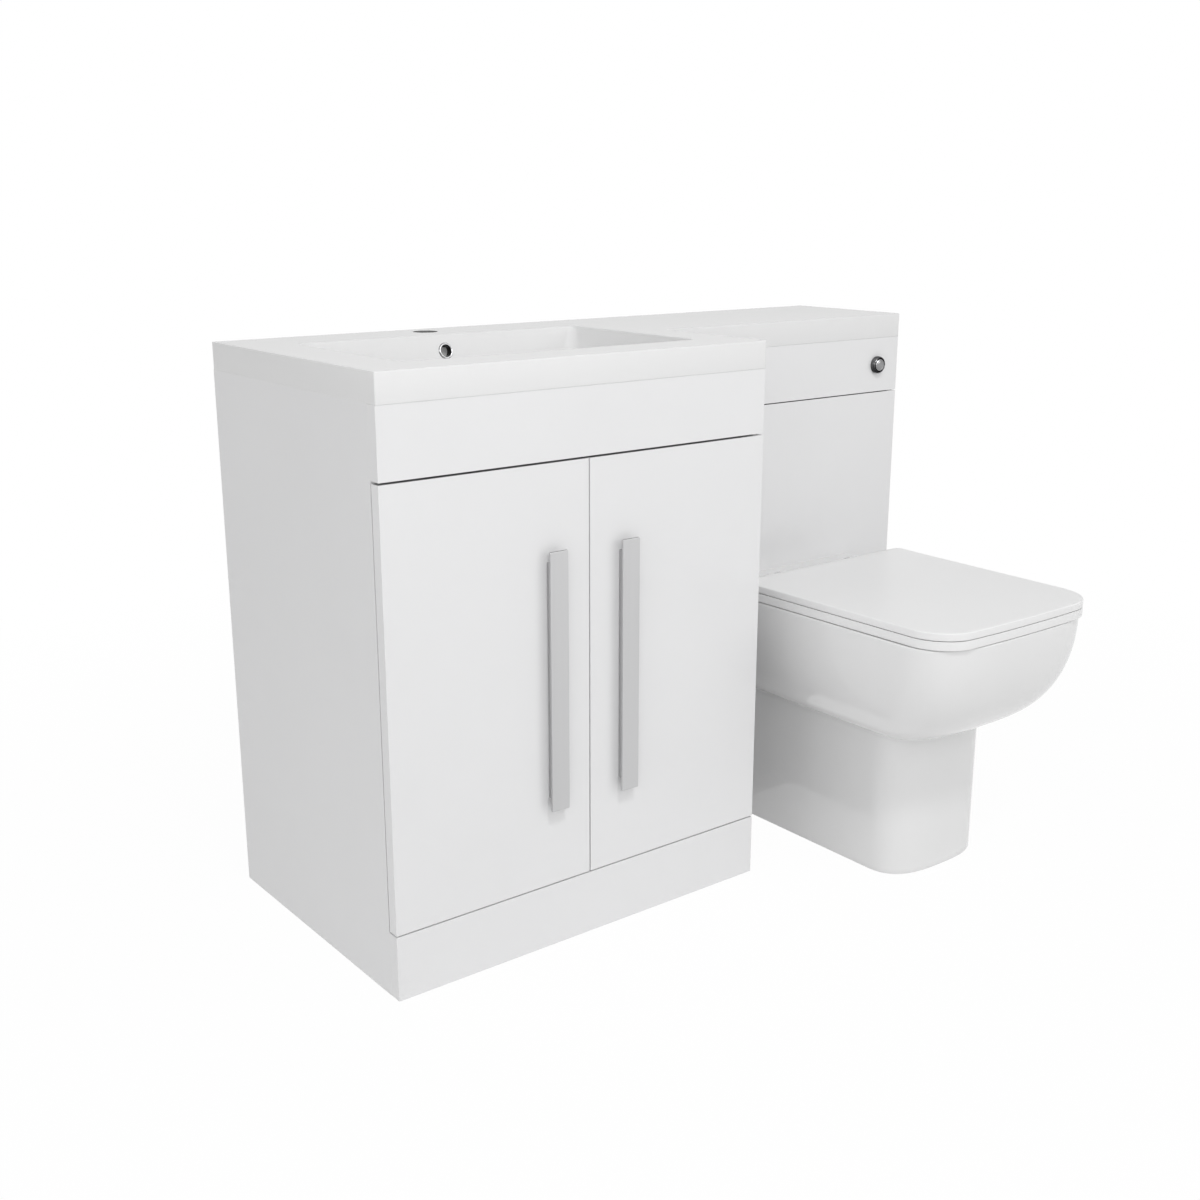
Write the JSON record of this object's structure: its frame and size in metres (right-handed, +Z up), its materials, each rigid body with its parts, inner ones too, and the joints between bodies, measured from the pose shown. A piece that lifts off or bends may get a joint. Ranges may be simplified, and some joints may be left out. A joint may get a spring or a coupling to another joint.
{
  "type": "toilet and basin combination unit",
  "caption": "Gloss white basin cabinet with an L-shaped basin top, joined to a concealed cistern unit with a back-to-wall toilet pan, seat and lid.",
  "frame": {"origin": "middle of the footprint at floor level", "axes": "+X to the right seen from the front, along the wall; +Y towards the wall; +Z up"},
  "size_m": [1.1, 0.709, 0.777],
  "materials": {
    "gloss_board": "gloss white lacquer on board",
    "carcass_board": "satin white melamine on board",
    "resin": "gloss white cast mineral resin",
    "pan_ceramic": "gloss white vitreous glaze",
    "seat_plastic": "gloss white thermoset plastic",
    "handle_metal": "satin anodised",
    "chrome_trim": "polished",
    "plated_steel": "nickel plated",
    "clear_buffer": "soft translucent",
    "black_rubber": "matte black",
    "cable_sheath": "matte black",
    "float_plastic": "matte red",
    "valve_plastic": "matte blue",
    "grey_plastic": "matte grey",
    "cap_plastic": "gloss white",
    "tank_plastic": "matte pale grey",
    "pipe_plastic": "smooth white"
  },
  "bodies": {
    "cabinet": {"vanity_left_side": "gloss_board", "vanity_right_side": "gloss_board", "vanity_base": "carcass_board", "vanity_rear_top_rail": "carcass_board", "vanity_rear_bottom_rail": "carcass_board", "vanity_front_rail": "carcass_board", "vanity_fascia": "gloss_board", "vanity_plinth": "gloss_board", "shelf": "carcass_board", "shelf_pins": "plated_steel", "door_buffers": "clear_buffer", "hinge_arms": "plated_steel", "basin_top": "resin", "overflow_ring": "chrome_trim", "basin_waste": "chrome_trim", "waste_nut": "grey_plastic", "bottle_trap": "pipe_plastic", "trap_pipe": "pipe_plastic", "wc_left_side": "gloss_board", "wc_right_side": "gloss_board", "wc_rear_rail": "carcass_board", "wc_front_rail": "carcass_board", "wc_floor_rail": "carcass_board", "wc_fascia": "gloss_board", "wc_front_panel": "gloss_board", "wall_brackets": "plated_steel", "cistern_tank": "tank_plastic", "cistern_lid": "tank_plastic", "cistern_screws": "plated_steel", "fill_valve": "pipe_plastic", "fill_nut": "grey_plastic", "flush_valve": "pipe_plastic", "flush_valve_nut": "grey_plastic", "flush_pipe": "pipe_plastic", "flush_seal": "black_rubber", "button_bezel": "chrome_trim", "button_nut": "grey_plastic", "flush_cable": "cable_sheath", "pan": "pan_ceramic", "soil_connector": "pipe_plastic", "pan_brackets": "grey_plastic", "pan_screws": "cap_plastic", "hinge_posts": "chrome_trim", "hinge_plugs": "black_rubber"},
    "left_door_leaf": {"left_door": "gloss_board", "left_handle": "handle_metal", "handle_screws_left": "plated_steel", "hinge_cups_left": "plated_steel"},
    "right_door_leaf": {"right_door": "gloss_board", "right_handle": "handle_metal", "handle_screws_right": "plated_steel", "hinge_cups_right": "plated_steel"},
    "toilet_seat": {"seat": "seat_plastic", "seat_buffers": "clear_buffer"},
    "toilet_lid": {"lid": "seat_plastic", "lid_buffers": "clear_buffer"},
    "push_button": {"flush_button": "chrome_trim"},
    "flush_lift": {"valve_lift": "valve_plastic"},
    "float_cup": {"cistern_float": "float_plastic"},
    "basin_plug": {"waste_plug": "chrome_trim"}
  },
  "joints": [
    {"name": "left_door_hinge", "type": "hinge", "parent": "cabinet", "child": "left_door_leaf", "pos_m": [-0.547, -0.0665, 0.37], "axis": [0, 0, -1], "range_deg": [0, 95]},
    {"name": "right_door_hinge", "type": "hinge", "parent": "cabinet", "child": "right_door_leaf", "pos_m": [0.043, -0.0665, 0.37], "axis": [0, 0, 1], "range_deg": [0, 95]},
    {"name": "seat_hinge", "type": "hinge", "parent": "cabinet", "child": "toilet_seat", "pos_m": [0.29, 0.0505, 0.3955], "axis": [-1, 0, 0], "range_deg": [0, 95]},
    {"name": "lid_hinge", "type": "hinge", "parent": "toilet_seat", "child": "toilet_lid", "pos_m": [0.29, 0.0505, 0.3955], "axis": [1, 0, 0], "range_deg": [-97, 0]},
    {"name": "button_press", "type": "slide", "parent": "cabinet", "child": "push_button", "axis": [0, 1, 0], "range_m": [0, 0.007], "stiffness_N_per_m": 350, "springref_m": -0.006},
    {"name": "valve_rise", "type": "slide", "parent": "cabinet", "child": "flush_lift", "axis": [0, 0, 1], "range_m": [0, 0.007]},
    {"name": "float_rise", "type": "slide", "parent": "cabinet", "child": "float_cup", "axis": [0, 0, 1], "range_m": [0, 0.06]},
    {"name": "plug_rise", "type": "slide", "parent": "cabinet", "child": "basin_plug", "axis": [0, 0, 1], "range_m": [0, 0.009]}
  ],
  "couplings": [
    {"joint": "valve_rise", "follows": "button_press", "ratio": 1}
  ]
}
